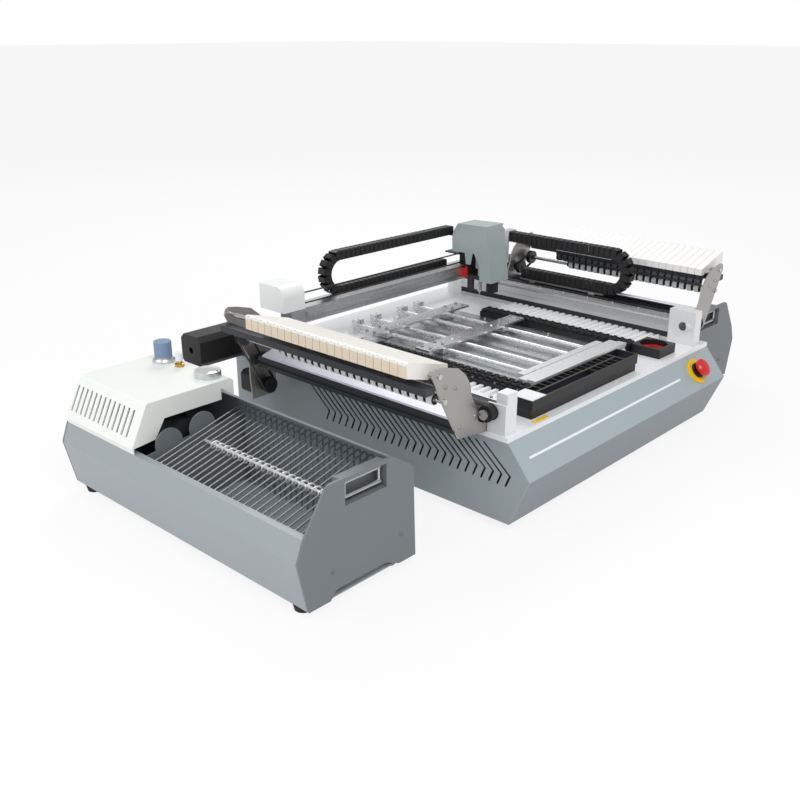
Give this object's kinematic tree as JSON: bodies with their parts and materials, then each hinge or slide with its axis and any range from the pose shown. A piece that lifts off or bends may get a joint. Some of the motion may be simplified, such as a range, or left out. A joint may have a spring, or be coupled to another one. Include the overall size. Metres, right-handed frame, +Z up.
{
  "type": "desktop pick and place machine",
  "caption": "Bench-top component placer: low body with a moving gantry and twin-nozzle head over a board bed, tape racks on both sides, and a separate reel tray beside each rack.",
  "frame": {"origin": "on the floor, under the middle of the whole set: machine body, both reel trays and the stop button's reach", "axes": "+X towards the operator's right along the gantry beam, +Y from the front panel to the back, +Z up"},
  "size_m": [1.2966, 0.7054, 0.353],
  "materials": {
    "body_sheet": "satin",
    "deck_aluminium": "anodised",
    "profile_aluminium": "extruded",
    "black_plastic": "matte",
    "motor_black": "matte",
    "rubber_black": "matte",
    "rod_steel": "ground",
    "rack_steel": "brushed",
    "lever_beige": "matte",
    "roller_white": "matte",
    "wire_steel": "bright",
    "pulley_aluminium": "machined",
    "cover_white": "satin",
    "cover_grey": "satin",
    "fitting_white": "gloss",
    "knob_blue_grey": "matte",
    "needle_black": "matte",
    "stop_yellow": "matte",
    "stop_red": "gloss",
    "tube_blue": "gloss"
  },
  "bodies": {
    "machine": {"front_panel": "body_sheet", "side_panels": "body_sheet", "base_pan": "body_sheet", "deck_plate": "deck_aluminium", "feet": "rubber_black", "y_beams": "profile_aluminium", "bearing_blocks": "deck_aluminium", "y_motor": "motor_black", "y_belts": "rubber_black", "pcb_bed": "profile_aluminium", "bed_rods": "rod_steel", "front_rail": "deck_aluminium", "tape_guides": "black_plastic", "parts_tray": "black_plastic", "up_camera": "black_plastic", "estop_base": "stop_yellow", "rack_end_plates": "rack_steel", "rack_bars": "rack_steel", "take_up_drives": "motor_black", "tray_shells": "body_sheet", "tray_end_plates": "body_sheet", "reel_dividers": "wire_steel", "vacuum_pump": "motor_black", "pump_cover": "cover_white", "air_fittings": "fitting_white", "y_cable_chain": "black_plastic"},
    "gantry": {"gantry_beam": "profile_aluminium", "gantry_ends": "deck_aluminium", "x_motor_cover": "cover_white", "x_motor": "motor_black", "x_belt": "rubber_black", "x_cable_chain": "black_plastic"},
    "head": {"head_plate": "pulley_aluminium", "head_cover": "cover_grey", "down_camera": "black_plastic", "air_tube": "tube_blue"},
    "nozzle_1_slide": {"nozzle_1_slide": "rod_steel"},
    "nozzle_1": {"nozzle_1": "rod_steel"},
    "nozzle_2_slide": {"nozzle_2_slide": "rod_steel"},
    "nozzle_2": {"nozzle_2": "rod_steel"},
    "x_drive_pulley": {"x_drive_pulley": "pulley_aluminium"},
    "x_idler": {"x_idler": "pulley_aluminium"},
    "y_drive_shaft": {"y_drive_shaft": "rod_steel"},
    "left_idler": {"left_idler": "pulley_aluminium"},
    "right_idler": {"right_idler": "pulley_aluminium"},
    "regulator_knob": {"regulator_knob": "knob_blue_grey"},
    "valve_knob": {"valve_knob": "fitting_white"},
    "gauge_needle": {"gauge_needle": "needle_black"},
    "left_tray_handle": {"left_tray_handle": "rod_steel"},
    "right_tray_handle": {"right_tray_handle": "rod_steel"},
    "back_bar": {"back_bar": "profile_aluminium"},
    "middle_bar": {"middle_bar": "profile_aluminium"},
    "estop_plunger": {"estop_plunger": "stop_red"},
    "estop_cap": {"estop_cap": "stop_red"},
    "left_levers": {"left_levers": "lever_beige"},
    "right_levers": {"right_levers": "lever_beige"},
    "left_roller": {"left_roller": "roller_white"},
    "right_roller": {"right_roller": "roller_white"},
    "left_pinion": {"left_pinion": "pulley_aluminium"},
    "right_pinion": {"right_pinion": "pulley_aluminium"}
  },
  "joints": [
    {"name": "gantry_y", "type": "slide", "parent": "machine", "child": "gantry", "axis": [0, 1, 0], "range_m": [-0.4, 0.04], "deforming": ["y_cable_chain"]},
    {"name": "head_x", "type": "slide", "parent": "gantry", "child": "head", "axis": [1, 0, 0], "range_m": [-0.36, 0.05], "deforming": ["x_cable_chain"]},
    {"name": "nozzle_1_z", "type": "slide", "parent": "head", "child": "nozzle_1_slide", "axis": [0, 0, 1], "range_m": [-0.011, 0.011], "deforming": ["air_tube"]},
    {"name": "nozzle_2_z", "type": "slide", "parent": "head", "child": "nozzle_2_slide", "axis": [0, 0, 1], "range_m": [-0.011, 0.011]},
    {"name": "nozzle_1_spin", "type": "hinge", "parent": "nozzle_1_slide", "child": "nozzle_1", "pos_m": [0.2303, 0.13967, 0.24], "axis": [0, 0, 1], "continuous": true},
    {"name": "nozzle_2_spin", "type": "hinge", "parent": "nozzle_2_slide", "child": "nozzle_2", "pos_m": [0.2643, 0.13967, 0.24], "axis": [0, 0, 1], "continuous": true},
    {"name": "y_shaft_spin", "type": "hinge", "parent": "machine", "child": "y_drive_shaft", "pos_m": [0.0663, 0.30267, 0.194], "axis": [1, 0, 0], "range_deg": [-195, 1915]},
    {"name": "left_idler_spin", "type": "hinge", "parent": "machine", "child": "left_idler", "pos_m": [-0.2667, -0.27233, 0.194], "axis": [1, 0, 0], "range_deg": [-195, 1915]},
    {"name": "right_idler_spin", "type": "hinge", "parent": "machine", "child": "right_idler", "pos_m": [0.3793, -0.28033, 0.194], "axis": [1, 0, 0], "range_deg": [-195, 1915]},
    {"name": "x_pulley_spin", "type": "hinge", "parent": "gantry", "child": "x_drive_pulley", "pos_m": [-0.2487, 0.19267, 0.277], "axis": [0, 1, 0], "range_deg": [-290, 2070]},
    {"name": "x_idler_spin", "type": "hinge", "parent": "gantry", "child": "x_idler", "pos_m": [0.3563, 0.19267, 0.277], "axis": [0, 1, 0], "range_deg": [-290, 2070]},
    {"name": "left_roller_spin", "type": "hinge", "parent": "machine", "child": "left_roller", "pos_m": [-0.3587, 0.00267, 0.235], "axis": [0, 1, 0], "continuous": true},
    {"name": "left_pinion_spin", "type": "hinge", "parent": "machine", "child": "left_pinion", "pos_m": [-0.3067, 0.19367, 0.133], "axis": [0, 1, 0], "continuous": true},
    {"name": "right_roller_spin", "type": "hinge", "parent": "machine", "child": "right_roller", "pos_m": [0.4913, 0.00267, 0.235], "axis": [0, 1, 0], "continuous": true},
    {"name": "right_pinion_spin", "type": "hinge", "parent": "machine", "child": "right_pinion", "pos_m": [0.4513, 0.19367, 0.218], "axis": [0, 1, 0], "continuous": true},
    {"name": "left_lever_tilt", "type": "hinge", "parent": "machine", "child": "left_levers", "pos_m": [-0.3697, 0.00267, 0.276], "axis": [0, 1, 0], "range_deg": [-20, 14]},
    {"name": "right_lever_tilt", "type": "hinge", "parent": "machine", "child": "right_levers", "pos_m": [0.5023, 0.00267, 0.276], "axis": [0, 1, 0], "range_deg": [-14, 20]},
    {"name": "regulator_turn", "type": "hinge", "parent": "machine", "child": "regulator_knob", "pos_m": [-0.4697, 0.27467, 0.21], "axis": [0, 0, 1], "range_deg": [-360, 360]},
    {"name": "valve_turn", "type": "hinge", "parent": "machine", "child": "valve_knob", "pos_m": [-0.4667, 0.23267, 0.21], "axis": [0, 0, 1], "range_deg": [0, 720]},
    {"name": "gauge_swing", "type": "hinge", "parent": "machine", "child": "gauge_needle", "pos_m": [-0.4647, 0.15667, 0.207], "axis": [0, 0, -1], "range_deg": [0, 270]},
    {"name": "left_handle_lift", "type": "hinge", "parent": "machine", "child": "left_tray_handle", "pos_m": [-0.5222, -0.25713, 0.176], "axis": [-1, 0, 0], "range_deg": [0, 90]},
    {"name": "right_handle_lift", "type": "hinge", "parent": "machine", "child": "right_tray_handle", "pos_m": [0.5222, -0.23633, 0.176], "axis": [-1, 0, 0], "range_deg": [0, 90]},
    {"name": "back_bar_slide", "type": "slide", "parent": "machine", "child": "back_bar", "axis": [0, 1, 0], "range_m": [-0.03, 0.05]},
    {"name": "middle_bar_slide", "type": "slide", "parent": "machine", "child": "middle_bar", "axis": [0, 1, 0], "range_m": [-0.17, 0.07]},
    {"name": "estop_press", "type": "slide", "parent": "machine", "child": "estop_plunger", "axis": [0, 0.7766, -0.63], "range_m": [0, 0.0045], "stiffness_N_per_m": 600},
    {"name": "estop_twist", "type": "hinge", "parent": "estop_plunger", "child": "estop_cap", "pos_m": [0.3093, -0.32583, 0.1235], "axis": [0, 0.7766, -0.63], "range_deg": [0, 45], "stiffness_Nm_per_rad": 0.05}
  ],
  "couplings": [
    {"joint": "nozzle_2_z", "follows": "nozzle_1_z", "ratio": -1},
    {"joint": "y_shaft_spin", "follows": "gantry_y", "rad_per_m": -83.333},
    {"joint": "left_idler_spin", "follows": "gantry_y", "rad_per_m": -83.333},
    {"joint": "right_idler_spin", "follows": "gantry_y", "rad_per_m": -83.333},
    {"joint": "x_pulley_spin", "follows": "head_x", "rad_per_m": -100},
    {"joint": "x_idler_spin", "follows": "head_x", "rad_per_m": -100},
    {"joint": "left_pinion_spin", "follows": "left_roller_spin", "ratio": 1},
    {"joint": "right_pinion_spin", "follows": "right_roller_spin", "ratio": 1}
  ]
}
